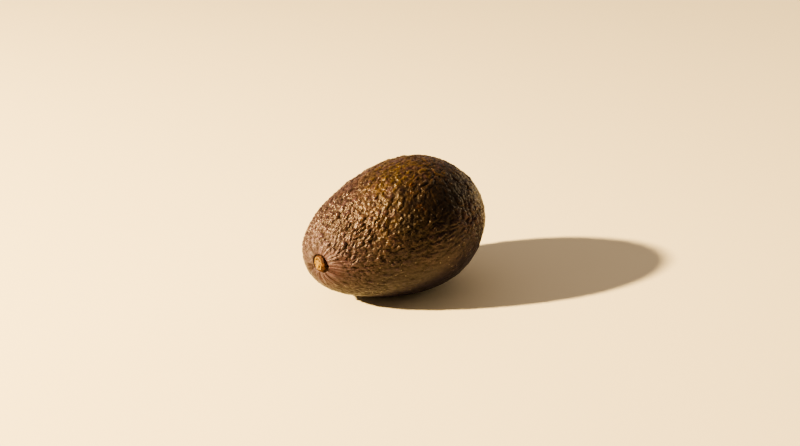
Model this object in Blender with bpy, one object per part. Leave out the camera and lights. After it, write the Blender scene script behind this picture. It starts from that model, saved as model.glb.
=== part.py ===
"""A whole avocado lying on its side, with the corky stub of its stem.

The long axis runs along X, with the stem end at -X. The fruit leans on the small
flat spot under its centre of mass, at z = 0, so its blossom end is a little raised.
"""

import math

import bmesh
import bpy
from mathutils import Matrix, Vector

# Driving dimensions, in metres.
LENGTH = 0.100           # stem end to blossom end, along the fruit's own axis
GIRTH_RADIUS = 0.0348    # radius of the cross-section halfway along
TAPER = 0.211            # share by which the blossom half is fatter than the middle
BLUNTNESS = 0.127        # share of that taper given back towards the two ends
LEAN_DEG = 11.1          # how far the long axis rises from level towards the blossom end
FLAT_DEPTH = 0.0005      # how much of the round underside the flat spot takes away

# The stem's place: an angle from the blossom end, and one around the long axis from +Y.
STEM_FROM_BLOSSOM_DEG = 155.8
STEM_AROUND_DEG = 160.1
STUB_SWING_DEG = 8.0     # the stub points along the long axis, swung this far to -Y
STUB_LIFT_DEG = 13.6     # and lifted this far

# The stub of the stem, and the hollow and socket that it sits in.
STUB_RADIUS = 0.0043
FACE_RADIUS = 0.0036
STUB_RISE = 0.0012       # from the skin at the stub's middle to its face
STUB_ROOT = 0.0034       # from the skin at the stub's middle down to its lower end
EDGE_ROUNDING = 0.0004
FACE_CROWN = 0.0002      # how much the face swells at its middle
CLEARANCE = 0.0003       # the gap between the stub and its socket
HOLLOW_RADIUS = 0.0085
HOLLOW_DEPTH = 0.0010

FRUIT_SEGMENTS = 52
FRUIT_RINGS = 34
STUB_SEGMENTS = 28
SOCKET_REACH = 0.010     # how far the socket's cutter runs out past the skin


def clear_scene():
    """Empties the scene, so that only this part is in it."""
    for old in list(bpy.data.objects):
        bpy.data.objects.remove(old, do_unlink=True)


def make_material(name, colour, roughness):
    """Returns a plain Principled material."""
    material = bpy.data.materials.new(name)
    material.use_nodes = True
    shader = material.node_tree.nodes["Principled BSDF"]
    shader.inputs["Base Color"].default_value = (*colour, 1.0)
    shader.inputs["Roughness"].default_value = roughness
    shader.inputs["Metallic"].default_value = 0.0
    return material


def section_radius(cosine):
    """Returns the fruit's radius for a unit sphere's point at this cosine, per unit of its own."""
    return GIRTH_RADIUS * (1.0 + TAPER * cosine - BLUNTNESS * cosine ** 3)


def fruit_point(direction):
    """Moves a point of the unit sphere, whose poles are on X, onto the fruit's plain outline."""
    radius = section_radius(direction.x)
    return Vector((0.5 * LENGTH * direction.x, radius * direction.y, radius * direction.z))


def stem_place():
    """Returns the point of the skin that the stub grows from, in the fruit's own axes."""
    polar = math.radians(STEM_FROM_BLOSSOM_DEG)
    around = math.radians(STEM_AROUND_DEG)
    across = math.sin(polar)
    return fruit_point(Vector((math.cos(polar), across * math.cos(around), across * math.sin(around))))


def stub_direction():
    """Returns the unit vector that the stub points along, in the fruit's own axes."""
    swing = math.radians(STUB_SWING_DEG)
    lift = math.radians(STUB_LIFT_DEG)
    level = math.cos(lift)
    return Vector((-level * math.cos(swing), -level * math.sin(swing), math.sin(lift)))


def stub_frame():
    """Returns the matrix that stands something made along +Z on the skin, where the stub is."""
    turn = stub_direction().to_track_quat("Z", "Y").to_matrix().to_4x4()
    return Matrix.Translation(stem_place()) @ turn


def add_object(name, mesh_builder, material):
    """Makes a smooth-shaded object from a finished bmesh and frees the bmesh."""
    mesh = bpy.data.meshes.new(name)
    mesh_builder.to_mesh(mesh)
    mesh_builder.free()
    mesh.materials.append(material)
    mesh.shade_smooth()
    mesh.set_sharp_from_angle(angle=math.radians(40.0))
    piece = bpy.data.objects.new(name, mesh)
    bpy.context.scene.collection.objects.link(piece)
    return piece


def sink_hollow(mesh_builder):
    """Presses a shallow round hollow into the skin about the stub."""
    centre = stem_place()
    outward = stub_direction()
    for vertex in mesh_builder.verts:
        offset = vertex.co - centre
        distance = (offset - outward * offset.dot(outward)).length
        if offset.length < 3.0 * HOLLOW_RADIUS:
            vertex.co -= outward * HOLLOW_DEPTH * math.exp(-(distance / HOLLOW_RADIUS) ** 2)


def cut_flat_spot(mesh_builder):
    """Cuts the underside level and closes it with the flat face that the fruit rests on."""
    height = min(vertex.co.z for vertex in mesh_builder.verts) + FLAT_DEPTH
    whole = mesh_builder.verts[:] + mesh_builder.edges[:] + mesh_builder.faces[:]
    cut = bmesh.ops.bisect_plane(
        mesh_builder, geom=whole, plane_co=(0.0, 0.0, height), plane_no=(0.0, 0.0, 1.0), clear_inner=True
    )
    rim = [item for item in cut["geom_cut"] if isinstance(item, bmesh.types.BMEdge)]
    bmesh.ops.contextual_create(mesh_builder, geom=rim)
    bmesh.ops.recalc_face_normals(mesh_builder, faces=mesh_builder.faces[:])


def make_fruit(material):
    """Makes the fruit's closed body, leaning as it rests, with its flat spot but no socket yet."""
    body = bmesh.new()
    bmesh.ops.create_uvsphere(body, u_segments=FRUIT_SEGMENTS, v_segments=FRUIT_RINGS, radius=1.0)
    bmesh.ops.rotate(body, verts=body.verts[:], cent=(0.0, 0.0, 0.0),
                     matrix=Matrix.Rotation(math.radians(90.0), 3, "Y"))
    for vertex in body.verts:
        vertex.co = fruit_point(vertex.co)
    sink_hollow(body)
    bmesh.ops.transform(body, matrix=lean_matrix(), verts=body.verts[:])
    cut_flat_spot(body)
    return add_object("fruit", body, material)


def lean_matrix():
    """Returns the turn that takes the fruit's own axes to the way it lies, blossom end raised."""
    return Matrix.Rotation(math.radians(-LEAN_DEG), 4, "Y")


def make_turned(name, profile, segments, material):
    """Turns an outline of (radius, height) points, from axis to axis, into a closed solid of +Z."""
    turned = bmesh.new()
    points = [turned.verts.new((radius, 0.0, height)) for radius, height in profile]
    outline = [turned.edges.new(pair) for pair in zip(points, points[1:])]
    bmesh.ops.spin(turned, geom=points + outline, cent=(0.0, 0.0, 0.0), axis=(0.0, 0.0, 1.0),
                   angle=math.tau, steps=segments)
    bmesh.ops.remove_doubles(turned, verts=turned.verts[:], dist=0.00001)
    bmesh.ops.recalc_face_normals(turned, faces=turned.faces[:])
    return add_object(name, turned, material)


def make_stub(material):
    """Makes the corky stub: a short round plug that narrows to a gently crowned face."""
    profile = [
        (0.0, -STUB_ROOT),
        (STUB_RADIUS - EDGE_ROUNDING, -STUB_ROOT),
        (STUB_RADIUS, EDGE_ROUNDING - STUB_ROOT),
        (STUB_RADIUS, -0.4 * STUB_ROOT),
        (0.5 * (STUB_RADIUS + FACE_RADIUS), 0.3 * STUB_RISE),
        (FACE_RADIUS, STUB_RISE - EDGE_ROUNDING),
        (FACE_RADIUS - EDGE_ROUNDING, STUB_RISE),
        (0.0, STUB_RISE + FACE_CROWN),
    ]
    stub = make_turned("stem_button", profile, STUB_SEGMENTS, material)
    stub.data.transform(lean_matrix() @ stub_frame())
    return stub


def make_socket_cutter(material):
    """Makes the round plug of empty space, a little bigger than the stub, that the socket is cut with."""
    radius = STUB_RADIUS + CLEARANCE
    floor = -STUB_ROOT - CLEARANCE
    outline = [(0.0, floor), (radius, floor), (radius, SOCKET_REACH), (0.0, SOCKET_REACH)]
    cutter = make_turned("socket_cutter", outline, STUB_SEGMENTS, material)
    cutter.data.transform(lean_matrix() @ stub_frame())
    cutter.hide_render = True
    cutter.display_type = "WIRE"
    return cutter


def cut_socket(fruit, cutter):
    """Takes the socket out of the fruit."""
    socket = fruit.modifiers.new("socket", "BOOLEAN")
    socket.operation = "DIFFERENCE"
    socket.solver = "EXACT"
    socket.object = cutter


def stand_at_origin(fruit, followers):
    """Moves all the pieces so that the fruit's box is centred on the origin and rests at z = 0."""
    low = Vector(min(vertex.co[axis] for vertex in fruit.data.vertices) for axis in range(3))
    high = Vector(max(vertex.co[axis] for vertex in fruit.data.vertices) for axis in range(3))
    middle = 0.5 * (low + high)
    shift = Matrix.Translation((-middle.x, -middle.y, -low.z))
    for piece in [fruit, *followers]:
        piece.data.transform(shift)


def main():
    """Builds the avocado."""
    clear_scene()
    skin = make_material("avocado_skin", (0.115, 0.062, 0.034), 0.42)
    cork = make_material("stem_cork", (0.52, 0.31, 0.12), 0.85)
    fruit = make_fruit(skin)
    stub = make_stub(cork)
    cutter = make_socket_cutter(cork)
    cut_socket(fruit, cutter)
    stand_at_origin(fruit, [stub, cutter])


main()
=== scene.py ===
"""The looks of a whole avocado: its pebbled skin, the corky stub of its stem, and a plain stage.

The file is laid out as an add-on and is run as a script. The sizes and colours that a user
would change are in the property groups, each piece has an operator, and main() calls them.
"""

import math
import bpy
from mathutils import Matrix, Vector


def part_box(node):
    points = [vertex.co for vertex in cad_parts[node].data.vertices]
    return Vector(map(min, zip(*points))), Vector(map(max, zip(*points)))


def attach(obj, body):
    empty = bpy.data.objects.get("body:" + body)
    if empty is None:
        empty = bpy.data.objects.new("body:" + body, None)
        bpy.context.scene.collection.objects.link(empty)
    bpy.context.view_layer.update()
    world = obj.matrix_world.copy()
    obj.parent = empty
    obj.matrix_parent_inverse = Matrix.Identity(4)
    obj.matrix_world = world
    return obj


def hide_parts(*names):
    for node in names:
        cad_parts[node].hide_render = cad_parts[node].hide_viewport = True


bl_info = {
    "name": "Avocado",
    "version": (1, 0, 0),
    "blender": (4, 5, 0),
    "location": "View3D > Sidebar > Avocado",
    "description": "Builds a whole avocado with pebbled skin and a stem button",
    "category": "Add Mesh",
}

import bpy
import numpy as np
from bpy.props import FloatProperty, FloatVectorProperty, IntProperty, PointerProperty
from mathutils import Matrix, Vector, kdtree, noise

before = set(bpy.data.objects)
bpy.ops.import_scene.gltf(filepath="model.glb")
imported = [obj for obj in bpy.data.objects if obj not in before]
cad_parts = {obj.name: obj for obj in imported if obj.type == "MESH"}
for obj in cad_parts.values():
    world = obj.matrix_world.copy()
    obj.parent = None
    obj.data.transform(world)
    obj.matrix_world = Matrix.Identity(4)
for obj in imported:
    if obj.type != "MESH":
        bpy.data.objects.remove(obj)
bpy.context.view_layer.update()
FRUIT_LOW, FRUIT_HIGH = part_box("fruit")
FRUIT_AREA = 0.0200      # the area of the skin, in square metres
# The rows below start with a direction from the fruit's centre, in its own axes: the blossom end is
# at +X, and +Z is up but for the lean.
# How dark the skin is painted there: -1 for pale brown, 0 for brown, 1 for black. Partly this is how far the
# skin has ripened, and partly painted light: painted shade darkens the patch turned away from the lights and
# the underside near the floor, and painted light and sheen lighten the rim at the blossom end, the skin
# beside and below the stub and parts of the lit side.
RIPENESS_AND_PAINTED_LIGHT = (
    (-1.00, -0.10, 0.10, 0.00), (-0.60, -0.40, 0.70, 0.03), (-0.60, -0.70, -0.40, 0.08),
    (0.40, -0.76, 0.52, 1.20), (0.53, -0.59, 0.61, 1.20), (0.53, -0.69, 0.49, 1.20),
    (0.25, -0.89, 0.39, 0.95), (0.25, -0.80, 0.55, 1.00), (0.59, -0.17, 0.78, 0.05),
    (0.72, -0.39, 0.58, 0.08), (0.65, -0.71, 0.29, -0.25), (0.80, -0.53, 0.29, 0.25),
    (0.68, -0.58, 0.45, 0.80), (0.70, -0.50, 0.50, 0.60), (0.77, -0.62, 0.11, -0.95),
    (0.62, -0.78, 0.08, -0.30), (0.72, -0.68, 0.15, -0.95), (0.74, -0.60, 0.28, -0.30),
    (0.74, -0.66, -0.09, 0.00), (0.61, -0.77, -0.18, 0.00), (0.46, -0.85, -0.25, 0.20),
    (0.89, -0.19, 0.41, 0.00), (0.37, -0.90, 0.24, 0.62), (0.28, -0.95, 0.12, 0.28),
    (0.08, -0.97, 0.23, 0.85), (-0.05, -0.93, 0.37, 1.00), (0.02, -0.86, 0.51, 1.15),
    (0.13, -0.82, 0.55, 1.15), (-0.02, -1.00, -0.08, 0.40), (0.20, -0.98, -0.07, 0.35),
    (-0.24, -0.94, -0.23, 0.60), (0.07, -0.92, -0.38, 0.60), (0.32, -0.76, -0.57, 0.50),
    (-0.23, -0.74, -0.63, 1.65), (-0.24, -0.87, -0.43, 1.00), (0.00, -0.71, -0.70, 1.75),
    (-0.03, -0.84, -0.54, 1.25), (-0.43, -0.78, -0.45, 0.90), (-0.61, -0.75, -0.25, 0.50),
    (-0.36, -0.93, 0.02, 0.55), (-0.19, -0.96, 0.20, 0.72), (-0.05, -0.72, 0.69, 0.75),
    (0.08, -0.66, 0.75, 0.90), (0.22, -0.58, 0.78, 0.80), (0.33, -0.32, 0.89, 0.20),
    (-0.40, 0.10, 0.90, 0.03), (0.30, 0.20, 0.90, 0.10), (0.90, 0.30, 0.10, 0.65),
    (0.30, 0.80, 0.50, 0.60), (-0.40, 0.80, 0.30, 0.25), (0.20, 0.70, -0.60, 0.55),
    (-0.20, -0.30, -0.90, 0.50), (-0.31, -0.53, 0.79, -0.50), (-0.20, -0.69, 0.70, -0.25),
    (-0.30, -0.30, 0.87, -0.25), (-0.45, -0.40, 0.80, -0.10), (-0.70, -0.30, 0.60, -0.20),
    (-0.58, -0.65, 0.48, -0.05), (-0.30, -0.85, 0.42, 0.12), (-0.90, -0.43, -0.05, -0.60),
    (-0.85, -0.52, 0.03, -1.10), (-0.81, -0.58, 0.11, -1.05), (-0.66, -0.75, 0.07, -0.25),
    (-0.45, -0.80, 0.35, 0.50),
)
# How green it is there; on the rim at the blossom end, at (0.80, -0.45, 0.30), the green is partly painted
# sheen.
GREENNESS = (
    (-0.70, -0.60, 0.00, 0.08), (0.16, -0.31, 0.94, 1.00), (-0.05, -0.43, 0.90, 1.00),
    (-0.05, -0.72, 0.69, 1.00), (0.22, -0.58, 0.78, 1.00), (-0.20, -0.69, 0.70, 0.60),
    (-0.31, -0.53, 0.79, 0.40), (-0.60, -0.65, 0.50, 0.15), (0.33, -0.32, 0.89, 1.00),
    (0.59, -0.17, 0.78, 0.70), (0.50, -0.80, 0.30, 0.00), (-0.90, 0.00, 0.30, 0.00),
    (0.80, -0.45, 0.30, 0.70), (-0.66, -0.75, 0.07, 0.20), (0.30, 0.80, 0.30, 0.70),
    (-0.40, 0.80, -0.20, 0.30), (0.00, -0.80, -0.50, 0.05), (0.30, 0.20, -0.90, 0.40),
    (-0.60, 0.00, 0.80, 0.15),
)
# How strongly it is pebbled and ridged there, and by how many degrees the rows turn off the long axis.
TEXTURE = (
    (-0.39, 0.16, 0.91, 1.10, 1.00, 28), (-0.59, 0.10, 0.80, 1.50, 1.30, 26),
    (-0.82, 0.13, 0.56, 1.60, 1.30, 15), (-0.70, -0.25, 0.67, 2.00, 1.70, 24),
    (-0.58, -0.65, 0.48, 1.85, 1.80, 28), (-0.78, -0.45, 0.45, 1.50, 1.30, 28),
    (-0.31, -0.53, 0.79, 1.40, 1.30, 26), (-0.20, -0.69, 0.70, 1.05, 1.30, 34),
    (-0.05, -0.72, 0.69, 0.95, 1.20, 38), (-0.05, -0.43, 0.90, 1.05, 1.20, 32),
    (0.16, -0.31, 0.94, 1.25, 1.15, 34), (0.42, -0.32, 0.85, 1.05, 1.10, 5),
    (0.59, -0.17, 0.78, 0.95, 1.05, -38), (0.40, -0.76, 0.52, 0.60, 0.65, 75),
    (0.55, -0.66, 0.52, 0.55, 0.65, 115), (0.37, -0.90, 0.24, 0.75, 1.00, 4),
    (0.65, -0.71, 0.29, 1.50, 2.20, 82), (0.70, -0.50, 0.50, 1.25, 1.90, 106),
    (0.76, -0.64, 0.05, 1.50, 2.20, 70), (0.61, -0.77, -0.18, 0.50, 0.70, 35),
    (0.28, -0.95, 0.12, 0.55, 0.80, 2), (0.08, -0.97, 0.23, 1.10, 1.15, 5),
    (-0.05, -0.93, 0.37, 1.10, 1.25, 30), (-0.19, -0.96, 0.20, 1.25, 1.40, 25),
    (-0.36, -0.93, 0.02, 1.00, 1.00, -10), (-0.02, -1.00, -0.08, 0.65, 0.70, -10),
    (0.20, -0.98, -0.07, 0.45, 0.55, -5), (-0.66, -0.75, 0.07, 1.00, 0.80, 5),
    (-0.61, -0.75, -0.25, 0.75, 0.65, -30), (-0.50, -0.77, -0.35, 0.75, 0.60, -25),
    (-0.87, -0.47, -0.18, 0.35, 0.30, -35), (-0.75, -0.55, -0.38, 0.40, 0.35, -35),
    (-0.24, -0.94, -0.23, 0.40, 0.40, -15), (0.07, -0.92, -0.38, 0.30, 0.30, -10),
    (-0.23, -0.74, -0.63, 0.20, 0.25, -20), (0.32, -0.76, -0.57, 0.15, 0.20, -15),
    (-0.94, -0.34, 0.04, 0.30, 0.20, 0), (0.90, 0.20, 0.30, 0.65, 0.90, 80),
    (0.30, 0.90, 0.20, 0.95, 1.00, 50), (-0.40, 0.85, 0.10, 1.05, 1.10, 30),
    (0.00, 0.50, -0.85, 0.55, 0.50, 10), (0.00, -0.20, -1.00, 0.30, 0.30, 0),
    (0.30, 0.50, 0.80, 1.00, 1.00, 40), (-0.80, 0.50, 0.10, 0.90, 0.80, 20),
    (0.80, 0.40, -0.40, 0.70, 1.00, 70), (0.93, -0.30, 0.15, 0.60, 0.80, 82),
    (0.90, -0.40, -0.15, 0.60, 0.80, 72), (0.88, -0.20, 0.42, 0.65, 0.85, 110),
    (0.29, -0.12, 0.95, 1.05, 1.05, -20), (0.50, -0.85, -0.18, 0.50, 0.70, 33),
)
# Rusty specks, with their sizes as angles.
RUST = (
    (0.16, -0.46, 0.84, 0.028), (0.12, -0.56, 0.78, 0.020), (0.13, -0.72, 0.64, 0.024),
    (0.16, -0.76, 0.58, 0.016), (-0.42, 0.14, 0.84, 0.030), (0.35, 0.10, 0.90, 0.018),
    (-0.20, 0.70, 0.60, 0.028), (0.50, 0.75, -0.10, 0.022), (-0.10, 0.95, -0.20, 0.025),
    (0.55, -0.50, -0.60, 0.018), (0.75, 0.30, 0.55, 0.024), (0.90, -0.20, -0.30, 0.020),
)
GOLDEN_ANGLE = math.pi * (3.0 - math.sqrt(5.0))
# Shape of the skin, in metres unless a share is meant.
PEBBLES_BEGIN, PEBBLES_FULL = 0.0052, 0.0130     # distances from the middle of the stem
ROW_WANDER = 0.35        # how far the rows wander off their marked turn, in radians
PEBBLE_WARP = 0.0009     # how far the outlines of the pebbles are pushed about
RIDGE_WARP = 0.0006      # and those of the ridges on top of that
PATCHINESS = 0.26        # share by which the relief comes and goes from place to place
LEAST_PEBBLED, LEAST_RIDGED, MOST_RAISED = 0.12, 0.10, 2.2
SWELL = 0.00012          # height of the broad unevenness under it all
SKIN_RISE = 0.00015      # how far the skin stands, on average, outside the plain outline
CREST_HEIGHT = 0.00035   # a point this far above its surroundings takes the full colour of a crest, with its faint painted highlight tint, and one as far below takes the full painted shade of a hollow
FOLDS_FADE, FOLDS_END = 0.0080, 0.0170           # distances from the middle of the stem
LIP_HEIGHT, LIP_TILT = 0.0003, 0.0016            # of the skin about the stub, and more on its low side
LIP_RADIUS, LIP_FADE = 0.0055, 0.0060
SOCKET_GAP = 0.0003      # between the stub and its socket
RIM_REACH = 0.00027      # skin this near the edge of the socket is pulled onto it
GRAIN_HEIGHT = 0.00045
# Shape of the stub.
FACE_SET_OFF = 0.0007    # how far the face stands off towards the stub's high side
GROOVE_DEPTH = 0.00035   # how much deeper the ring inside the rim is, where it is not broken
# Colours of the skin.
BROWN, BROWN_BLOTCH = (0.0560, 0.0330, 0.0358), (0.0405, 0.0226, 0.0232)
BLACK, BLACK_BLOTCH = (0.0066, 0.0035, 0.0018), (0.0112, 0.0060, 0.0029)
# The plum colour goes on more where the skin faces down: partly its own plum hue, partly painted shade on the
# underside.
OLIVE, RUSTY, PLUM_AND_UNDERSIDE_SHADE = (0.0520, 0.0335, 0.0065), (0.085, 0.032, 0.010), (0.0100, 0.0074, 0.0200)
# The stem-crease colour darkens the low parts of the folds about the stem: painted shade in those creases.
NECK, STREAK, STEM_CREASE_SHADE = (0.060, 0.0410, 0.048), (0.034, 0.014, 0.018), (0.030, 0.013, 0.015)
# Pale dots: partly the skin's lenticels, partly painted glints.
PALE_DOT_AND_GLINT = (0.210, 0.185, 0.175)
# Painted shade darkens the hollows between the pebbles, and a faint painted highlight tint lifts their
# crests.
HOLLOW_PAINTED_SHADE, CREST_PAINTED_HIGHLIGHT = (0.21, 0.092, 0.036), (1.0, 1.0, 1.08)
# Colours of the cork.
TAN, TAN_BLOTCH = (0.310, 0.213, 0.084), (0.175, 0.103, 0.034)
# The dark crusty side of the stub: partly the bark's own colour, partly painted shade of its flank.
CRUST_AND_SHADE, CRUST_AND_SHADE_BLOTCH = (0.026, 0.0095, 0.008), (0.105, 0.043, 0.018)
# Darkens the groove inside the face's rim, as painted shade in that recess, and the cracks on the face.
GROOVE_SHADE_AND_CRACKS = (0.060, 0.026, 0.009)
# The stage.
BRIGHT_SIDE = (0.10, 0.99, 0.10)     # the light all around is brighter this way
BACKDROP_CONTRAST = 0.55             # by this share, and darker by as much the other way
CAMERA_AIM = Vector((0.0034, -0.0002, 0.0373))


# ---------------------------------------------------------------- settings


class AvocadoBody(bpy.types.PropertyGroup):
    """The size and proportions of the fruit, the same as the solid part's."""

    length: FloatProperty(name="Length", description="Stem end to blossom end", default=0.100, unit="LENGTH")
    girth: FloatProperty(name="Girth", description="Radius halfway along", default=0.0348, unit="LENGTH")
    taper: FloatProperty(name="Taper", description="How much fatter the blossom half is", default=0.211)
    bluntness: FloatProperty(name="Bluntness", description="How much of the taper the ends give back",
                             default=0.127)
    lean: FloatProperty(name="Lean", description="How far the long axis rises as it lies",
                        default=math.radians(11.1), subtype="ANGLE")
    doublings: IntProperty(name="Doublings", description="How often the mesh is divided in two", default=7)


class AvocadoPebbles(bpy.types.PropertyGroup):
    """The pebbles and wrinkles of the skin."""

    count: IntProperty(name="Pebbles", description="Pebbles over the whole fruit", default=3900)
    height: FloatProperty(name="Height", description="Pebble above hollow", default=0.00072, unit="LENGTH")
    stretch: FloatProperty(name="Stretch", description="Pebble length over its width", default=1.6)
    ridges: IntProperty(name="Ridges", description="Long ridges that the pebbles sit on", default=1000)
    ridge_height: FloatProperty(name="Ridge height", description="Ridge above the crease between two",
                                default=0.00088, unit="LENGTH")
    ridge_stretch: FloatProperty(name="Ridge stretch", description="Ridge length over its width", default=3.2)
    crumbs: IntProperty(name="Crumbs", description="Small bumps between the pebbles", default=12500)
    crumb_height: FloatProperty(name="Crumb height", description="Height of the small bumps",
                                default=0.00014, unit="LENGTH")
    wrinkle_height: FloatProperty(name="Wrinkle height", description="Height of the wrinkles about the stem",
                                  default=0.00042, unit="LENGTH")


class AvocadoStem(bpy.types.PropertyGroup):
    """The stub of the stem and the hollow and socket that it sits in, the same as the solid part's."""

    from_blossom: FloatProperty(name="From blossom", description="Place as an angle from the blossom end",
                                default=math.radians(155.8), subtype="ANGLE")
    around: FloatProperty(name="Around", description="Place as an angle around the long axis",
                          default=math.radians(160.1), subtype="ANGLE")
    swing: FloatProperty(name="Swing", description="How far the stub points to the side",
                         default=math.radians(8.0), subtype="ANGLE")
    lift: FloatProperty(name="Lift", description="How far the stub points up",
                        default=math.radians(13.6), subtype="ANGLE")
    radius: FloatProperty(name="Radius", description="Radius at the skin", default=0.0043, unit="LENGTH")
    face: FloatProperty(name="Face radius", description="Radius of the face", default=0.0036, unit="LENGTH")
    rise: FloatProperty(name="Rise", description="Face above the skin", default=0.0012, unit="LENGTH")
    root: FloatProperty(name="Root", description="Depth below the skin", default=0.0034, unit="LENGTH")
    hollow: FloatProperty(name="Hollow", description="Depth of the hollow about the stub",
                          default=0.0010, unit="LENGTH")
    hollow_radius: FloatProperty(name="Hollow radius", description="Radius of that hollow",
                                 default=0.0085, unit="LENGTH")


class AvocadoStage(bpy.types.PropertyGroup):
    """The floor, the light and the camera."""

    floor: FloatVectorProperty(name="Floor", description="Colour of the floor", subtype="COLOR",
                               default=(0.84, 0.765, 0.590))
    key: FloatProperty(name="Key", description="Power of the key light", default=59.5, unit="POWER")
    key_colour: FloatVectorProperty(name="Key colour", description="Colour of the key light",
                                    subtype="COLOR", default=(1.0, 0.75, 0.39))
    fill_colour: FloatVectorProperty(name="Fill colour", description="Colour of the light all around",
                                     subtype="COLOR", default=(1.0, 0.80, 0.655))
    fill: FloatProperty(name="Fill", description="Strength of the light all around", default=0.37)
    side: FloatProperty(name="Side", description="Power of the soft light at the blossom end",
                        default=3.6, unit="POWER")
    side_colour: FloatVectorProperty(name="Side colour", description="Colour of that soft light",
                                     subtype="COLOR", default=(1.0, 0.86, 0.56))
    azimuth: FloatProperty(name="Azimuth", description="Where the camera stands around the fruit",
                           default=math.radians(-24.0), subtype="ANGLE")
    elevation: FloatProperty(name="Elevation", description="How far down the camera looks",
                             default=math.radians(25.1), subtype="ANGLE")
    distance: FloatProperty(name="Distance", description="Camera to fruit", default=0.6365, unit="LENGTH")
    lens: FloatProperty(name="Lens", description="Focal length in millimetres", default=54.71)


# ---------------------------------------------------------------- helpers


def deselect_all():
    """Leaves nothing selected, so that an operator acts on the new piece only."""
    if bpy.context.object and bpy.context.object.mode != "OBJECT":
        bpy.ops.object.mode_set(mode="OBJECT")
    bpy.ops.object.select_all(action="DESELECT")


def read_points(mesh):
    """Returns the mesh's vertices as an array of rows."""
    points = np.empty(len(mesh.vertices) * 3)
    mesh.vertices.foreach_get("co", points)
    return points.reshape(-1, 3)


def write_points(mesh, points):
    """Puts an array of rows back as the mesh's vertices."""
    mesh.vertices.foreach_set("co", np.ascontiguousarray(points).ravel())
    mesh.update()


def read_normals(mesh):
    """Returns the outward normal at each vertex."""
    normals = np.empty(len(mesh.vertices) * 3)
    mesh.vertices.foreach_get("normal", normals)
    return normals.reshape(-1, 3)


def smooth_step(low, high, values):
    """Goes smoothly from 0 at low to 1 at high."""
    share = np.clip((values - low) / (high - low), 0.0, 1.0)
    return share * share * (3.0 - 2.0 * share)


def unit(vectors):
    """Scales rows to length one."""
    return vectors / np.maximum(np.linalg.norm(vectors, axis=-1, keepdims=True), 1e-12)


def cloud(points, size, octaves, offset):
    """Returns soft noise from about -1 to 1 at each point, with lumps of about this size."""
    shift = Vector((offset, -0.7 * offset, 0.4 * offset))
    return np.array([noise.fractal(Vector(point) / size + shift, 1.0, 2.0, octaves) for point in points])


def store(mesh, name, values):
    """Keeps one number for each vertex, for the material to read."""
    layer = mesh.attributes.new(name, "FLOAT", "POINT")
    layer.data.foreach_set("value", np.ascontiguousarray(values, dtype=np.float32))


# ---------------------------------------------------------------- the fruit's shape


def section_radius(body, cosine):
    """Returns the fruit's radius for a unit sphere's point at this cosine, per unit of its own."""
    return body.girth * (1.0 + body.taper * cosine - body.bluntness * cosine ** 3)


def fruit_points(body, directions):
    """Moves points of the unit sphere, whose poles are on X, onto the fruit's plain outline."""
    radius = section_radius(body, directions[:, 0])
    return np.column_stack((0.5 * body.length * directions[:, 0], radius * directions[:, 1],
                            radius * directions[:, 2]))


def stem_place(body, stem):
    """Returns the point of the skin that the stub grows from, in the fruit's own axes."""
    across = math.sin(stem.from_blossom)
    direction = np.array([[math.cos(stem.from_blossom), across * math.cos(stem.around),
                           across * math.sin(stem.around)]])
    return fruit_points(body, direction)[0]


def stub_direction(stem):
    """Returns the unit vector that the stub points along, in the fruit's own axes."""
    level = math.cos(stem.lift)
    return np.array([-level * math.cos(stem.swing), -level * math.sin(stem.swing), math.sin(stem.lift)])


def downhill(body, stem):
    """Returns the direction across the stub in which the skin falls away, in the fruit's own axes."""
    place, outward = stem_place(body, stem), stub_direction(stem)
    cosine = 2.0 * place[0] / body.length
    sine = math.sqrt(1.0 - cosine ** 2)
    slope = body.taper - 3.0 * body.bluntness * cosine ** 2
    lengthwise = body.girth * slope * sine - section_radius(body, cosine) * cosine / sine
    across = np.linalg.norm(place[1:])
    normal = np.array([-2.0 * lengthwise / body.length, place[1] / across, place[2] / across])
    return unit(normal - outward * (normal @ outward))


def lean_matrix(body):
    """Returns the turn that takes the fruit's own axes to the way it lies."""
    return np.array(Matrix.Rotation(-body.lean, 3, "Y"))


def add_quad_sphere(name, doublings):
    """Adds a cube whose faces are laid out side by side on the UV map, and rounds it to a unit sphere."""
    deselect_all()
    bpy.ops.mesh.primitive_cube_add(size=2.0, location=(0.0, 0.0, 0.0))
    ball = bpy.context.object
    ball.name = name
    ball.data.name = name
    lay_out_faces(ball.data)
    bpy.ops.object.mode_set(mode="EDIT")
    bpy.ops.mesh.select_all(action="SELECT")
    for _ in range(doublings):
        bpy.ops.mesh.subdivide(number_cuts=1)
        bpy.ops.transform.tosphere(value=1.0)
    bpy.ops.object.mode_set(mode="OBJECT")
    write_points(ball.data, unit(read_points(ball.data)))
    bpy.ops.object.shade_smooth()
    return ball


def lay_out_faces(mesh):
    """Gives each of the cube's six faces its own square of the UV map, three across and two up."""
    margin = 0.004
    layer = mesh.uv_layers[0]
    layer.name = "OFBake"
    for place, polygon in enumerate(mesh.polygons):
        column, row = place % 3, place // 3
        corners = [(0, 0), (1, 0), (1, 1), (0, 1)]
        for loop, (right, up) in zip(polygon.loop_indices, corners):
            layer.data[loop].uv = (
                (column + margin + right * (1.0 - 2.0 * margin)) / 3.0,
                (row + margin + up * (1.0 - 2.0 * margin)) / 2.0,
            )


def scattered_points(body, count, jitter, seed):
    """Spreads points evenly over the fruit along a spiral and shakes each a little."""
    steps = np.arange(count)
    height = 1.0 - (2.0 * steps + 1.0) / count
    turn = steps * GOLDEN_ANGLE
    across = np.sqrt(1.0 - height ** 2)
    directions = np.column_stack((height, across * np.cos(turn), across * np.sin(turn)))
    spread = jitter * math.sqrt(4.0 * math.pi / count)
    directions = unit(directions + np.random.default_rng(seed).normal(0.0, spread, directions.shape))
    return fruit_points(body, directions)


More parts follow.
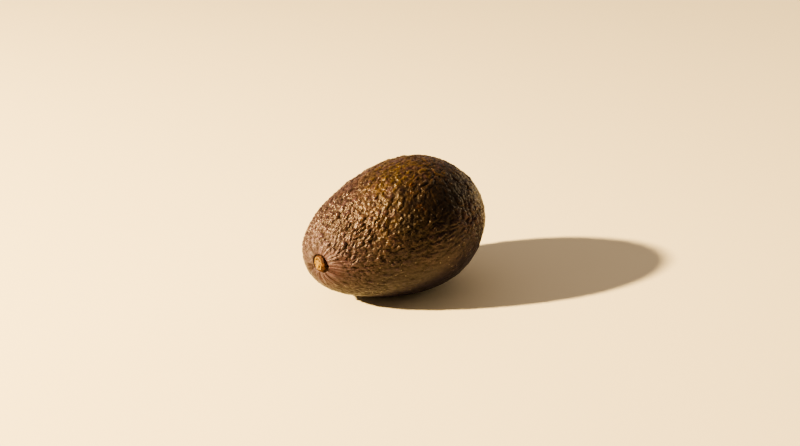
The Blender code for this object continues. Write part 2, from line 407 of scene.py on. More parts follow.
def nearest_seeds(points, seeds, many):
    """Returns, for each point, the places in the list of its nearest seeds."""
    tree = kdtree.KDTree(len(seeds))
    for place, seed in enumerate(seeds):
        tree.insert(seed, place)
    tree.balance()
    return np.array([[found[1] for found in tree.find_n(point, many)] for point in points])


def cell_pattern(points, seeds, grain, stretch, many=8):
    """Returns how far each point is from the border and from the middle of its cell, and its cell.

    The cells are longer along grain than across it, by the factor stretch.
    """
    places = nearest_seeds(points, seeds, many)
    offset = seeds[places] - points[:, None, :]
    lengthwise = np.einsum("nkc,nc->nk", offset, grain)
    squared = (offset ** 2).sum(axis=2) - lengthwise ** 2 * (1.0 - 1.0 / stretch ** 2)
    distance = np.sqrt(np.maximum(squared, 0.0))
    order = np.argsort(distance, axis=1)
    first = np.take_along_axis(distance, order[:, :1], axis=1)[:, 0]
    second = np.take_along_axis(distance, order[:, 1:2], axis=1)[:, 0]
    owner = np.take_along_axis(places, order[:, :1], axis=1)[:, 0]
    return second - first, first, owner


class Skin:
    """The fruit's surface while it is being shaped, in the fruit's own axes."""

    def __init__(self, body, pebbles, stem, mesh):
        self.body, self.pebbles, self.stem, self.mesh = body, pebbles, stem, mesh
        self.directions = unit(read_points(mesh))
        self.plain = fruit_points(body, self.directions)
        write_points(mesh, self.plain)
        self.normals = read_normals(mesh)
        self.along = unit(np.array([[1.0, 0.0, 0.0]]) - self.normals * self.normals[:, :1])
        self.around = np.cross(self.normals, self.along)
        self.shift = np.zeros(len(self.plain))
        self.find_stub()

    def find_stub(self):
        """Works out how far each point is from the stub's axis, and on which side of it."""
        self.outward = stub_direction(self.stem)
        offset = self.plain - stem_place(self.body, self.stem)
        self.sideways = offset - np.outer(offset @ self.outward, self.outward)
        self.stub_distance = np.linalg.norm(self.sideways, axis=1)
        self.stub_distance[self.plain[:, 0] > 0.0] = 1.0     # the blossom half is nowhere near it
        side = unit(np.cross([0.0, 0.0, 1.0], self.outward))
        rise = np.cross(self.outward, side)
        self.stub_turn = np.arctan2(self.sideways @ rise, self.sideways @ side)
        self.slant = unit(self.sideways) @ downhill(self.body, self.stem)


class AVOCADO_OT_fruit(bpy.types.Operator):
    """Builds the fruit: its body, pebbles, wrinkles, flat spot and skin"""

    bl_idname = "avocado.fruit"
    bl_label = "Fruit"

    def execute(self, context):
        scene = context.scene
        body, pebbles, stem = scene.avocado_body, scene.avocado_pebbles, scene.avocado_stem
        fruit = add_quad_sphere("avocado_fruit", body.doublings)
        skin = Skin(body, pebbles, stem, fruit.data)
        raise_pebbles(skin)
        shape_stem_end(skin)
        write_points(fruit.data, place_as_it_lies(skin))
        store(fruit.data, "relief", skin.relief)
        store(fruit.data, "pebble_tone", skin.tone)
        store(fruit.data, "stem_reach", skin.stub_distance)
        store(fruit.data, "pebbly", skin.pebbly)
        store(fruit.data, "streaks", skin.streaks)
        colour_zones(skin, fruit.data)
        fruit.data.materials.clear()
        fruit.data.materials.append(skin_material(body, stem))
        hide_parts("fruit")
        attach(fruit, "root")
        return {"FINISHED"}


def raise_pebbles(skin):
    """Raises ridges whose rows swirl over the fruit, the pebbles on them and the crumbs between them."""
    pebbles = skin.pebbles
    pebbled, ridged, cosine, sine = blend_marks(skin, doubled_turns(TEXTURE), width=0.20).T
    angle = 0.5 * np.arctan2(sine, cosine) + ROW_WANDER * cloud(skin.plain, 0.018, 1, 3.0)
    grain = skin.along * np.cos(angle)[:, None] + skin.around * np.sin(angle)[:, None]
    warp = np.column_stack([cloud(skin.plain, 0.0040, 2, offset) for offset in (11.0, 23.0, 37.0)])
    warped = skin.plain + PEBBLE_WARP * warp
    rng = np.random.default_rng(8)

    ridge, _ = raised_cells(skin, warped + RIDGE_WARP * warp, grain, pebbles.ridges, rng,
                            stretch=pebbles.ridge_stretch, width=0.58, seed=3)
    pebble, owner = raised_cells(skin, warped, grain, pebbles.count, rng,
                                 stretch=pebbles.stretch, width=0.72, seed=5)
    crumb, _ = raised_cells(skin, warped, grain, pebbles.crumbs, rng, stretch=1.2, width=0.60, seed=17)

    from_stem = smooth_step(PEBBLES_BEGIN, PEBBLES_FULL, skin.stub_distance)
    patchy = PATCHINESS * (cloud(skin.plain, 0.014, 2, 71.0) + cloud(skin.plain, 0.0045, 2, 53.0))
    pebbled = np.clip(pebbled + patchy, LEAST_PEBBLED, MOST_RAISED) * from_stem
    ridged = np.clip(ridged + 1.3 * patchy, LEAST_RIDGED, MOST_RAISED) * from_stem
    skin.tone = rng.uniform(0.0, 1.0, pebbles.count)[owner]
    skin.pebbly = np.clip(0.5 * (pebbled + ridged), 0.0, 1.0)
    # Each kind is lowered by about its own average, so that the fruit keeps its size.
    skin.shift += pebbles.height * pebbled * (pebble - 0.5)
    skin.shift += pebbles.ridge_height * ridged * (ridge - 0.6)
    skin.shift += pebbles.crumb_height * (0.25 + 0.75 * pebbled) * (crumb - 0.4)
    skin.shift += SWELL * cloud(skin.plain, 0.009, 1, 97.0)


def doubled_turns(marks):
    """Gives each mark's turn as the cosine and sine of twice it, as half a turn leaves a row the same."""
    doubled = [math.radians(2.0 * mark[-1]) for mark in marks]
    return [(*mark[:-1], math.cos(turn), math.sin(turn)) for mark, turn in zip(marks, doubled)]


def height_above_surroundings(mesh, height, passes=24):
    """Returns how far each point stands above the average around it, which widens with each pass."""
    ends = np.empty(2 * len(mesh.edges), dtype=np.int32)
    mesh.edges.foreach_get("vertices", ends)
    first, second = ends[0::2], ends[1::2]
    many = np.bincount(ends, minlength=len(height))
    average = height
    for _ in range(passes):
        around = np.bincount(first, average[second], len(height))
        around += np.bincount(second, average[first], len(height))
        average = 0.5 * average + 0.5 * around / many
    return height - average


def raised_cells(skin, points, grain, count, rng, stretch, width, seed):
    """Returns for each point how high it stands, 0 to 1, on a spread of rounded cells, and its cell.

    width is how far a cell's shoulder reaches in from its border, as a share of the cell.
    """
    spacing = math.sqrt(FRUIT_AREA / count)
    seeds = scattered_points(skin.body, count, 0.42, seed)
    gap, inside, owner = cell_pattern(points, seeds, grain, stretch)
    tall = rng.uniform(0.55, 1.0, count)[owner]
    shoulder = np.clip(gap / (width * spacing), 0.0, 1.0)
    dome = np.sqrt(np.maximum(1.0 - (1.0 - shoulder) ** 2, 0.0))
    peak = np.exp(-(inside / (0.45 * spacing)) ** 2)
    return (0.68 * dome + 0.32 * peak) * tall, owner


def shape_stem_end(skin):
    """Wrinkles the skin about the stem, in uneven folds that run outward and die away."""
    reach, turn = skin.stub_distance, skin.stub_turn
    near = reach < 0.030
    place = np.column_stack((np.cos(turn), np.sin(turn), reach / 0.016))[near]
    broad = cloud(place * (7.0, 7.0, 1.5), 1.0, 2, 5.0)
    narrow = cloud(place * (15.0, 15.0, 2.5), 1.0, 1, 9.0)
    fold = np.zeros(len(reach))
    fold[near] = broad + 0.6 * narrow
    start = smooth_step(0.0040, 0.0070, reach)
    fade = 1.0 - smooth_step(FOLDS_FADE, FOLDS_END, reach)
    skin.shift += skin.pebbles.wrinkle_height * start * fade * fold
    skin.streaks = 0.95 * fade * smooth_step(0.05, 0.60, -fold)
    skin.shift += SKIN_RISE - skin.shift.mean()
    above = height_above_surroundings(skin.mesh, skin.shift)
    skin.relief = np.clip(0.5 + 0.5 * above / CREST_HEIGHT, 0.0, 1.0)


def colour_zones(skin, mesh):
    """Stores how dark each place is painted, which is partly how far it has ripened and partly painted shade
    and light, and how green, plum-coloured and rusty it is; the plum colour on the underside is partly
    painted shade.
    """
    ripe_and_painted_light = blend_marks(skin, RIPENESS_AND_PAINTED_LIGHT, width=0.165) + 0.20 * cloud(skin.plain, 0.010, 3, 41.0)
    underside = 0.3 * cloud(skin.plain, 0.014, 2, 47.0) - skin.normals[:, 2]
    rust = sum(np.exp(-(angle_from(skin, place) / size) ** 2) for *place, size in RUST)
    rust *= 1.0 + 0.9 * cloud(skin.plain, 0.0018, 2, 43.0)
    store(mesh, "ripeness_and_painted_light", np.clip(ripe_and_painted_light, -1.0, 1.0))
    store(mesh, "greenness", np.clip(blend_marks(skin, GREENNESS, width=0.30), 0.0, 1.0))
    store(mesh, "plumness_and_underside_shade", smooth_step(-0.62, 0.75, underside))
    store(mesh, "rustiness", np.clip(rust, 0.0, 1.0))


def angle_from(skin, place):
    """Returns the angle at the fruit's centre between each point and one direction."""
    return np.arccos(np.clip(skin.directions @ unit(np.array(place)), -1.0, 1.0))


def blend_marks(skin, marks, width):
    """Blends the values marked at a few directions from the fruit's centre over the whole skin."""
    table = np.array(marks)
    angle = np.column_stack([angle_from(skin, place) for place in table[:, :3]])
    far_pull = 1e-4 / (0.1 + angle ** 2)
    weight = np.exp(-(angle / width) ** 2) + far_pull
    return np.squeeze(weight @ table[:, 3:] / weight.sum(axis=1, keepdims=True))


def place_as_it_lies(skin):
    """Moves the skin out by its shift, sinks the stem end, leans it and sets it on its flat spot."""
    stem, reach = skin.stem, skin.stub_distance
    points = skin.plain + skin.normals * skin.shift[:, None]
    sink = stem.hollow * np.exp(-(reach / stem.hollow_radius) ** 2)
    past_lip = np.maximum(reach - LIP_RADIUS, 0.0)
    low_side = 0.5 + 0.5 * skin.slant
    lip = (LIP_HEIGHT + LIP_TILT * low_side) * np.exp(-(past_lip / LIP_FADE) ** 2)
    points += np.outer(lip - sink, skin.outward)
    cut_socket(skin, points)
    points = points @ lean_matrix(skin.body).T + resting_offset(skin.body)
    points[:, 2] = np.maximum(points[:, 2], 0.0)
    return points


def cut_socket(skin, points):
    """Pulls the skin nearest the stub onto the edge of the socket, and drops what is inside to its floor."""
    stem, reach = skin.stem, skin.stub_distance
    edge = stem.radius + SOCKET_GAP
    on_edge = np.abs(reach - edge) < RIM_REACH
    inside = reach <= edge - RIM_REACH
    move = edge / reach[on_edge] - 1.0
    points[on_edge] += skin.sideways[on_edge] * move[:, None]
    level = (points - stem_place(skin.body, stem)) @ skin.outward
    drop = stem.root + SOCKET_GAP + level
    points[inside] -= np.outer(drop[inside], skin.outward)


def resting_offset(body):
    """Returns the move that brings the plain leaning outline to the solid fruit's box."""
    plain = scattered_points(body, 60000, 0.0, 0) @ lean_matrix(body).T
    low, high = plain.min(axis=0), plain.max(axis=0)
    offset = 0.5 * (np.array(FRUIT_LOW) + np.array(FRUIT_HIGH) - low - high)
    offset[2] = FRUIT_HIGH[2] - high[2]
    return offset


# ---------------------------------------------------------------- materials


def new_material(name):
    """Returns a new material, its nodes and its shader, which is joined to the output."""
    material = bpy.data.materials.new(name)
    material.use_nodes = True
    tree = material.node_tree
    tree.nodes.clear()
    output = tree.nodes.new("ShaderNodeOutputMaterial")
    shader = tree.nodes.new("ShaderNodeBsdfPrincipled")
    tree.links.new(shader.outputs["BSDF"], output.inputs["Surface"])
    return material, Nodes(tree), shader


class Nodes:
    """Adds nodes to one tree and joins them up."""

    def __init__(self, tree):
        self.tree = tree

    def add(self, kind, inputs=None, **settings):
        """Adds a node, sets its options, and gives each input a value or another node's output."""
        node = self.tree.nodes.new("ShaderNode" + kind)
        for name, value in settings.items():
            setattr(node, name, value)
        for name, value in (inputs or {}).items():
            self.feed(node.inputs[name], value)
        return node

    def feed(self, socket, value):
        """Gives one input a value or another node's output. A colour needs only its three shares."""
        if isinstance(value, bpy.types.NodeSocket):
            self.tree.links.new(value, socket)
        elif socket.type == "RGBA":
            socket.default_value = (*value, 1.0)
        else:
            socket.default_value = value

    def attribute(self, name):
        """Returns a number stored on the mesh."""
        return self.add("Attribute", attribute_name=name).outputs["Fac"]

    def mask(self, value, low, high):
        """Returns 0 where value is low, 1 where it is high, and smoothly between."""
        node = self.add("MapRange", {"Value": value, "From Min": low, "From Max": high},
                        interpolation_type="SMOOTHSTEP")
        return node.outputs["Result"]

    def scaled(self, value, first, last, low=0.0, high=1.0):
        """Returns first where value is low, last where it is high, and evenly between."""
        node = self.add("MapRange", {"Value": value, "From Min": low, "From Max": high,
                                     "To Min": first, "To Max": last})
        return node.outputs["Result"]

    def times(self, product, *factors):
        """Returns the product of numbers."""
        for factor in factors:
            product = self.add("Math", {0: product, 1: factor}, operation="MULTIPLY").outputs["Value"]
        return product

    def between(self, share, first, second):
        """Returns the number at this share of the way from first to second."""
        return self.add("Mix", {"Factor": share, "A": first, "B": second}).outputs["Result"]

    def mix(self, share, first, second, blend="MIX"):
        """Returns the colour first where share is 0 and second where it is 1."""
        node = self.add("Mix", data_type="RGBA", blend_type=blend)
        for name, value in (("Factor_Float", share), ("A_Color", first), ("B_Color", second)):
            self.feed(next(socket for socket in node.inputs if socket.identifier == name), value)
        return next(socket for socket in node.outputs if socket.identifier == "Result_Color")

    def grey(self, value):
        """Returns a number as a shade of grey."""
        return self.add("CombineColor", {"Red": value, "Green": value, "Blue": value}).outputs["Color"]

    def noise(self, vector, scale, detail=2.0, roughness=0.5):
        """Returns soft noise from 0 to 1."""
        node = self.add("TexNoise", {"Vector": vector, "Scale": scale, "Detail": detail,
                                     "Roughness": roughness})
        return node.outputs["Fac"]

    def placed(self, vector, shift, stretch):
        """Returns the coordinates moved, and stretched the same in all directions."""
        node = self.add("Mapping", {"Vector": vector, "Location": shift, "Scale": (stretch,) * 3})
        return node.outputs["Vector"]

    def group(self, group, inputs):
        """Adds a node group with these inputs."""
        return self.add("Group", inputs, node_tree=group)


def new_group(name, inputs, outputs):
    """Returns an empty shader node group with these sockets, and its nodes, its input and its output."""
    group = bpy.data.node_groups.new(name, "ShaderNodeTree")
    for label, kind in inputs:
        group.interface.new_socket(label, in_out="INPUT", socket_type="NodeSocket" + kind)
    for label, kind in outputs:
        group.interface.new_socket(label, in_out="OUTPUT", socket_type="NodeSocket" + kind)
    return group, Nodes(group), group.nodes.new("NodeGroupInput"), group.nodes.new("NodeGroupOutput")


def mottle_group():
    """Returns the group that blotches one colour with another, in large patches with small ones on them."""
    if "mottle" in bpy.data.node_groups:
        return bpy.data.node_groups["mottle"]
    group, nodes, given, result = new_group(
        "mottle", [("Vector", "Vector"), ("Scale", "Float"), ("Colour", "Color"), ("Blotch", "Color")],
        [("Colour", "Color")])
    where, scale = given.outputs["Vector"], given.outputs["Scale"]
    large = nodes.noise(where, scale, 4.0, 0.6)
    small = nodes.noise(nodes.placed(where, (0.3, 0.1, 0.7), 3.1), scale, 3.0, 0.6)
    blotch = nodes.mask(nodes.between(0.35, large, small), 0.40, 0.62)
    nodes.feed(result.inputs["Colour"], nodes.mix(blotch, given.outputs["Colour"], given.outputs["Blotch"]))
    return group


def mottled(nodes, where, scale, colour, blotch):
    """Returns one colour blotched with another."""
    patches = nodes.group(mottle_group(), {"Vector": where, "Scale": scale, "Colour": colour,
                                           "Blotch": blotch})
    return patches.outputs["Colour"]


def grain_group():
    """Returns the group that gives a fine raised grain, as a height and as a normal."""
    if "fine_grain" in bpy.data.node_groups:
        return bpy.data.node_groups["fine_grain"]
    group, nodes, given, result = new_group(
        "fine_grain", [("Vector", "Vector"), ("Scale", "Float"), ("Amount", "Float")],
        [("Height", "Float"), ("Normal", "Vector")])
    where, scale = given.outputs["Vector"], given.outputs["Scale"]
    cells = nodes.add("TexVoronoi", {"Vector": where, "Scale": scale, "Smoothness": 0.6}, feature="SMOOTH_F1")
    dust = nodes.noise(nodes.placed(where, (0.5, 0.2, 0.9), 2.7), scale, 3.0, 0.55)
    height = nodes.between(0.45, cells.outputs["Distance"], dust)
    bump = nodes.add("Bump", {"Height": height, "Strength": given.outputs["Amount"],
                              "Distance": GRAIN_HEIGHT}, invert=True)
    nodes.feed(result.inputs["Height"], height)
    nodes.feed(result.inputs["Normal"], bump.outputs["Normal"])
    return group


def stem_lines(nodes, where, reach, body, stem):
    """Returns noise from 0 to 1 drawn out into fine lines that run outward from the stem."""
    local = nodes.add("Mapping", {"Vector": where, "Location": resting_place(body, stem),
                                  "Rotation": stub_turn(body, stem).to_euler()}, vector_type="TEXTURE")
    flat = nodes.add("VectorMath", {0: local.outputs["Vector"], 1: (1.0, 1.0, 0.0)}, operation="MULTIPLY")
    ray = nodes.add("VectorMath", {0: flat.outputs["Vector"]}, operation="NORMALIZE")
    outward = nodes.add("CombineXYZ", {"Z": nodes.times(reach, 110.0)})
    spread = nodes.add("VectorMath", {0: ray.outputs["Vector"], 1: (7.0, 7.0, 0.0),
                                      2: outward.outputs["Vector"]}, operation="MULTIPLY_ADD")
    return nodes.noise(spread.outputs["Vector"], 1.0, 3.0, 0.65)


def skin_material(body, stem):
    """Returns the fruit's skin: brown to near black, blotched with olive and plum, and satin, with shade
    painted into its hollows, on its underside and on the patch turned from the lights, and painted light,
    sheen and glints in places.
    """
    material, nodes, shader = new_material("avocado_skin")
    where = nodes.add("TexCoord").outputs["Object"]
    ripeness_and_painted_light, reach = nodes.attribute("ripeness_and_painted_light"), nodes.attribute("stem_reach")
    raised = nodes.mask(nodes.attribute("relief"), 0.05, 0.80)
    neck = nodes.mask(reach, 0.023, 0.004)
    lines = stem_lines(nodes, where, reach, body, stem)
    near_stub = nodes.times(nodes.mask(reach, 0.0190, 0.0080), nodes.mask(reach, 0.0042, 0.0054))

    colour = ripe_and_shaded_colour(nodes, where, ripeness_and_painted_light)
    colour = nodes.mix(nodes.times(neck, 0.80), colour, NECK)
    colour = nodes.mix(nodes.attribute("streaks"), colour, STREAK)
    # Darker along the low parts of the folds about the stem: painted shade in those creases.
    line = nodes.times(nodes.mask(lines, 0.50, 0.36), near_stub, 0.80)
    colour = nodes.mix(line, colour, STEM_CREASE_SHADE)
    colour = painted_pebble_light_and_shade(nodes, colour, raised, ripeness_and_painted_light)
    nodes.feed(shader.inputs["Base Color"], add_pale_dots_and_glints(nodes, where, colour))

    grain = nodes.group(grain_group(), {"Vector": where, "Scale": 900.0, "Amount": nodes.attribute("pebbly")})
    folds = nodes.add("Bump", {"Height": nodes.times(lines, near_stub), "Distance": 0.0014,
                               "Normal": grain.outputs["Normal"]})
    nodes.feed(shader.inputs["Normal"], folds.outputs["Normal"])
    nodes.feed(shader.inputs["Roughness"], skin_roughness(nodes, where, raised, neck, ripeness_and_painted_light))
    nodes.feed(shader.inputs["Specular IOR Level"], 0.62)
    nodes.feed(shader.inputs["Specular Tint"], (1.0, 0.875, 0.79))
    nodes.feed(shader.inputs["IOR"], 1.45)
    return material


def ripe_and_shaded_colour(nodes, where, ripeness_and_painted_light):
    """Returns brown that turns black as the skin ripens and where shade is painted, with olive, rusty and
    plum places.
    """
    brown = mottled(nodes, where, 150.0, BROWN, BROWN_BLOTCH)
    black = mottled(nodes, where, 110.0, BLACK, BLACK_BLOTCH)
    # Black where the skin has ripened, and also as painted shade on the patch turned from the lights and on
    # the underside.
    colour = nodes.mix(ripeness_and_painted_light, brown, black)
    patch = nodes.mask(nodes.noise(where, 260.0, 3.0, 0.6), 0.34, 0.56)
    unripe_and_unshaded = nodes.mask(ripeness_and_painted_light, 1.30, 0.20)
    colour = nodes.mix(nodes.times(nodes.attribute("greenness"), patch, unripe_and_unshaded, 0.85), colour, OLIVE)
    colour = nodes.mix(nodes.times(nodes.attribute("rustiness"), 0.75), colour, RUSTY)
    # Plum where the skin faces down: partly its own hue, partly painted shade on the underside.
    return nodes.mix(nodes.times(nodes.attribute("plumness_and_underside_shade"), 0.95), colour, PLUM_AND_UNDERSIDE_SHADE)


def painted_pebble_light_and_shade(nodes, colour, raised, ripeness_and_painted_light):
    """Paints shade into the hollows of a colour and a faint highlight tint onto the crests, and makes some
    pebbles lighter and the places marked pale lighter, these partly paler skin and partly painted light.
    """
    # Painted shade in the hollows between the pebbles, and a faint painted highlight tint on their crests.
    colour = nodes.mix(1.0, colour, nodes.mix(raised, HOLLOW_PAINTED_SHADE, CREST_PAINTED_HIGHLIGHT), "MULTIPLY")
    lot = nodes.scaled(nodes.attribute("pebble_tone"), 1.05, 1.74)
    # Lighter where marked pale: partly paler brown skin, partly painted light and sheen on the rim at the
    # blossom end, beside the stub and on the lit side.
    pale = nodes.scaled(ripeness_and_painted_light, 1.0, 1.9, low=0.0, high=-1.0)
    return nodes.mix(1.0, colour, nodes.grey(nodes.times(lot, pale)), "MULTIPLY")


def add_pale_dots_and_glints(nodes, where, colour):
    """Returns a colour with small pale dots scattered on it in loose groups, partly lenticels and partly
    painted glints.
    """
    dots = nodes.add("TexVoronoi", {"Vector": where, "Scale": 420.0, "Randomness": 1.0}, feature="F1")
    dot = nodes.mask(dots.outputs["Distance"], 0.20, 0.10)
    few = nodes.mask(nodes.noise(where, 130.0, 1.0), 0.47, 0.56)
    return nodes.mix(nodes.times(dot, few, 0.75), colour, PALE_DOT_AND_GLINT)


def skin_roughness(nodes, where, raised, neck, ripeness_and_painted_light):
    """Returns how dull the skin is: uneven, and duller in the hollows, at the stem and where it is black."""
    smear = nodes.scaled(nodes.noise(where, 700.0, 3.0, 0.6), 0.205, 0.32, low=0.3, high=0.7)
    return nodes.times(smear, nodes.scaled(raised, 2.0, 0.95), nodes.scaled(neck, 1.0, 1.5),
                       nodes.scaled(ripeness_and_painted_light, 1.0, 1.25))


def cork_material():
    """Returns the stub's cork: tan on the face, and dark and crusty down its side, the dark partly the bark's
    colour and partly painted shade of the flank; the groove in the face is darkened with painted shade.
    """
    material, nodes, shader = new_material("stem_cork")
    where = nodes.add("TexCoord").outputs["Object"]
    tan = mottled(nodes, where, 700.0, TAN, TAN_BLOTCH)
    crust_and_shade = mottled(nodes, where, 620.0, CRUST_AND_SHADE, CRUST_AND_SHADE_BLOTCH)
    colour = nodes.mix(nodes.attribute("face"), crust_and_shade, tan)
    # Painted shade in the groove, and darker cracks on the face.
    colour = nodes.mix(nodes.times(nodes.attribute("crease"), 0.95), colour, GROOVE_SHADE_AND_CRACKS)
    grain = nodes.group(grain_group(), {"Vector": where, "Scale": 1700.0, "Amount": 0.9})
    nodes.feed(shader.inputs["Base Color"], colour)
    nodes.feed(shader.inputs["Normal"], grain.outputs["Normal"])
    nodes.feed(shader.inputs["Roughness"], nodes.scaled(grain.outputs["Height"], 0.92, 0.65))
    nodes.feed(shader.inputs["Specular IOR Level"], 0.3)
    return material


# ---------------------------------------------------------------- the stem button


class AVOCADO_OT_stem_button(bpy.types.Operator):
    """Builds the corky stub of the stem, with its cupped face and crusty side"""

    bl_idname = "avocado.stem_button"
    bl_label = "Stem button"

    def execute(self, context):
        body, stem = context.scene.avocado_body, context.scene.avocado_stem
        stub = raise_stub(stem)
        turn = stub_turn(body, stem)
        low_way = turn.inverted() @ Vector(lean_matrix(body) @ downhill(body, stem))
        roughen_stub(stub.data, stem, low_way)
        stand_stub(stub, body, stem, turn)
        stub.data.materials.clear()
        stub.data.materials.append(cork_material())
        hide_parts("stem_button")
        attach(stub, "root")
        return {"FINISHED"}


def raise_stub(stem):
    """Draws the stub up from a disc, ring by ring: its side, its rim, the groove and the boss within."""
    wide, face, rise = stem.radius, stem.face, stem.rise
    rings = [
        (1.03 * wide, -0.45 * stem.root), (1.06 * wide, 0.0), (1.01 * wide, 0.45 * rise),
        (0.5 * (wide + face), 0.80 * rise), (0.91 * face, rise), (0.84 * face, 1.12 * rise),
        (0.76 * face, 1.10 * rise), (0.66 * face, 0.72 * rise), (0.52 * face, 0.66 * rise),
        (0.40 * face, 1.00 * rise), (0.22 * face, 1.08 * rise), (0.08 * face, 0.90 * rise),
    ]
    deselect_all()
    bpy.ops.mesh.primitive_circle_add(vertices=48, radius=wide, fill_type="NGON", location=(0.0, 0.0, 0.0))
    stub = bpy.context.object
    stub.name = "avocado_stem_button"
    stub.data.name = stub.name
    bpy.ops.object.mode_set(mode="EDIT")
    bpy.ops.mesh.select_all(action="SELECT")
    radius, height = wide, -stem.root
    bpy.ops.transform.translate(value=(0.0, 0.0, height))
    for next_radius, next_height in rings:
        bpy.ops.mesh.extrude_region_move(TRANSFORM_OT_translate={"value": (0.0, 0.0, next_height - height)})
        share = next_radius / radius
        bpy.ops.transform.resize(value=(share, share, 1.0), center_override=(0.0, 0.0, next_height))
        radius, height = next_radius, next_height
    bpy.ops.mesh.select_all(action="SELECT")
    bpy.ops.mesh.normals_make_consistent(inside=False)
    bpy.ops.object.mode_set(mode="OBJECT")
    rounding = stub.modifiers.new("rounding", "SUBSURF")
    rounding.levels = rounding.render_levels = 2
    bpy.ops.object.modifier_apply(modifier="rounding")
    bpy.ops.object.shade_smooth()
    return stub


def roughen_stub(mesh, stem, low_way):
    """Makes the stub uneven, its face set off from its low side, and stores what is face and crease, the
    crease being the groove, darkened with painted shade, and the cracks on the face.
    """
    points = read_points(mesh)
    radius = np.linalg.norm(points[:, :2], axis=1)
    turn = np.arctan2(points[:, 1], points[:, 0])
    ragged = points[:, 2] + 0.0002 * cloud(points, 0.0012, 2, 6.0)
    face = np.where(radius < 0.86 * stem.face, 1.0, smooth_step(0.80 * stem.rise, 1.05 * stem.rise, ragged))
    out_of_round = 0.05 * np.sin(2.0 * turn + 0.6) + 0.05 * cloud(points, 0.0025, 2, 13.0)
    above = smooth_step(-0.3 * stem.root, 0.2 * stem.rise, points[:, 2])
    points[:, :2] *= (1.0 + out_of_round * above)[:, None]
    lump = (0.00030 - 0.00014 * face) * cloud(points, 0.0011, 3, 21.0)
    lump += 0.00010 * cloud(points, 0.0005, 2, 33.0)
    points += read_normals(mesh) * (lump * above)[:, None]
    set_off = FACE_SET_OFF * smooth_step(0.0, stem.rise, points[:, 2])
    points[:, :2] -= np.outer(set_off, np.array(low_way.xy.normalized()))
    groove = np.exp(-((radius - 0.60 * stem.face) / (0.16 * stem.face)) ** 2)
    groove *= smooth_step(-0.9, -0.2, np.cos(turn - 0.5))
    points[:, 2] -= GROOVE_DEPTH * groove
    write_points(mesh, points)
    # The groove is darkened with painted shade in its recess; the cracks on the face are darkened too.
    cracks = face * smooth_step(0.1, 0.6, cloud(points, 0.0009, 2, 77.0))
    store(mesh, "face", face)
    store(mesh, "crease", np.clip(groove + 0.7 * cracks, 0.0, 1.0))


def stub_turn(body, stem):
    """Returns the turn from the +Z that the stub is made along to the way that it points."""
    return Vector(lean_matrix(body) @ stub_direction(stem)).to_track_quat("Z", "Y")


def resting_place(body, stem):
    """Returns the point of the skin that the stub grows from, as the fruit lies."""
    return lean_matrix(body) @ stem_place(body, stem) + resting_offset(body)


def stand_stub(stub, body, stem, turn):
    """Turns the stub the way it points, stands it in its socket and leaves it as a finished piece."""
    deselect_all()
    stub.select_set(True)
    bpy.context.view_layer.objects.active = stub
    stub.rotation_euler = turn.to_euler()
    stub.location = resting_place(body, stem)
    bpy.ops.object.transform_apply(location=True, rotation=True, scale=True)


# ---------------------------------------------------------------- the stage


class AVOCADO_OT_stage(bpy.types.Operator):
    """Builds the floor, the lights and the camera"""

    bl_idname = "avocado.stage"
    bl_label = "Stage"

    def execute(self, context):
        stage = context.scene.avocado_stage
        add_floor(stage)
        add_lights(stage)
        add_backdrop(stage)
        add_camera(stage)
        context.scene.view_settings.view_transform = "AgX"
        context.scene.view_settings.look = "AgX - High Contrast"
        return {"FINISHED"}


def add_floor(stage):
    """Adds a plain pale floor."""
    deselect_all()
    bpy.ops.mesh.primitive_plane_add(size=24.0, location=(0.0, 0.0, 0.0))
    floor = bpy.context.object
    floor.name = "floor"
    material, nodes, shader = new_material("pale_floor")
    nodes.feed(shader.inputs["Base Color"], stage.floor)
    nodes.feed(shader.inputs["Roughness"], 0.9)
    nodes.feed(shader.inputs["Specular IOR Level"], 0.2)
    floor.data.materials.append(material)


def add_light(name, power, colour, around, height, distance, size, spread):
    """Adds a round light that faces the fruit from around it and from this height, all in degrees."""
    around, height = math.radians(around), math.radians(height)
    level = math.cos(height)
    away = Vector((level * math.cos(around), level * math.sin(around), math.sin(height)))
    deselect_all()
    bpy.ops.object.light_add(type="AREA", location=Vector((0.0, 0.0, 0.5 * FRUIT_HIGH.z)) + distance * away)
    light = bpy.context.object
    light.name = name
    light.data.shape = "DISK"
    light.data.size = size
    light.data.energy = power
    light.data.spread = math.radians(spread)
    light.data.color = colour
    light.visible_camera = False
    light.rotation_euler = (-away).to_track_quat("-Z", "Y").to_euler()


def add_lights(stage):
    """Adds a small warm key light low on the stem side, and a soft weak one at the blossom end."""
    add_light("key_light", stage.key, stage.key_colour,
              around=169.9, height=28.8, distance=2.0, size=0.09, spread=110.0)
    add_light("side_light", stage.side, stage.side_colour,
              around=12.0, height=9.5, distance=1.5, size=0.46, spread=180.0)


def add_backdrop(stage):
    """Lights the scene from all around, more strongly from one side than from the other."""
    world = bpy.data.worlds.new("studio")
    world.use_nodes = True
    bpy.context.scene.world = world
    nodes = Nodes(world.node_tree)
    background = world.node_tree.nodes["Background"]
    around = nodes.add("TexCoord").outputs["Generated"]
    way = nodes.add("VectorMath", {0: around, 1: BRIGHT_SIDE}, operation="DOT_PRODUCT")
    strength = nodes.scaled(way.outputs["Value"], (1.0 - BACKDROP_CONTRAST) * stage.fill,
                            (1.0 + BACKDROP_CONTRAST) * stage.fill, low=-1.0, high=1.0)
    nodes.feed(background.inputs["Color"], stage.fill_colour)
    nodes.feed(background.inputs["Strength"], strength)


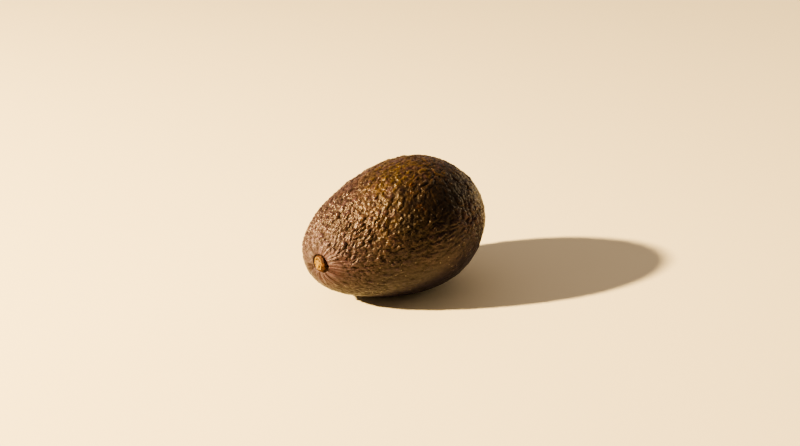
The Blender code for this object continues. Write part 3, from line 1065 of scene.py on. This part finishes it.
def add_camera(stage):
    """Adds the camera, a little above the fruit and turned to its stem end."""
    level = math.cos(stage.elevation)
    away = Vector((math.sin(stage.azimuth) * level, -math.cos(stage.azimuth) * level,
                   math.sin(stage.elevation)))
    deselect_all()
    bpy.ops.object.camera_add(location=CAMERA_AIM + stage.distance * away)
    camera = bpy.context.object
    camera.name = "camera"
    camera.rotation_euler = (-away).to_track_quat("-Z", "Y").to_euler()
    camera.data.sensor_width = 36.0
    camera.data.lens = stage.lens
    camera.data.clip_start = 0.01
    camera.data.clip_end = 100.0
    bpy.context.scene.camera = camera


# ---------------------------------------------------------------- panel and registration


class VIEW3D_PT_avocado(bpy.types.Panel):
    """Lists the avocado's pieces and settings"""

    bl_label = "Avocado"
    bl_space_type = "VIEW_3D"
    bl_region_type = "UI"
    bl_category = "Avocado"

    def draw(self, context):
        for operator in OPERATORS:
            self.layout.operator(operator.bl_idname)
        for name in SETTINGS:
            group = getattr(context.scene, name)
            box = self.layout.box()
            box.label(text=name.replace("_", " ").capitalize())
            for key in group.__annotations__:
                box.prop(group, key)


SETTINGS = {
    "avocado_body": AvocadoBody,
    "avocado_pebbles": AvocadoPebbles,
    "avocado_stem": AvocadoStem,
    "avocado_stage": AvocadoStage,
}
OPERATORS = (AVOCADO_OT_stage, AVOCADO_OT_fruit, AVOCADO_OT_stem_button)


def register():
    """Registers the settings, operators and panel."""
    for name, group in SETTINGS.items():
        bpy.utils.register_class(group)
        setattr(bpy.types.Scene, name, PointerProperty(type=group))
    for operator in OPERATORS:
        bpy.utils.register_class(operator)
    bpy.utils.register_class(VIEW3D_PT_avocado)


def unregister():
    """Removes what register() added."""
    bpy.utils.unregister_class(VIEW3D_PT_avocado)
    for operator in reversed(OPERATORS):
        bpy.utils.unregister_class(operator)
    for name, group in reversed(SETTINGS.items()):
        delattr(bpy.types.Scene, name)
        bpy.utils.unregister_class(group)


def main():
    """Builds the stage and the pieces."""
    register()
    bpy.ops.avocado.stage()
    bpy.ops.avocado.fruit()
    bpy.ops.avocado.stem_button()


if __name__ == "__main__":
    main()
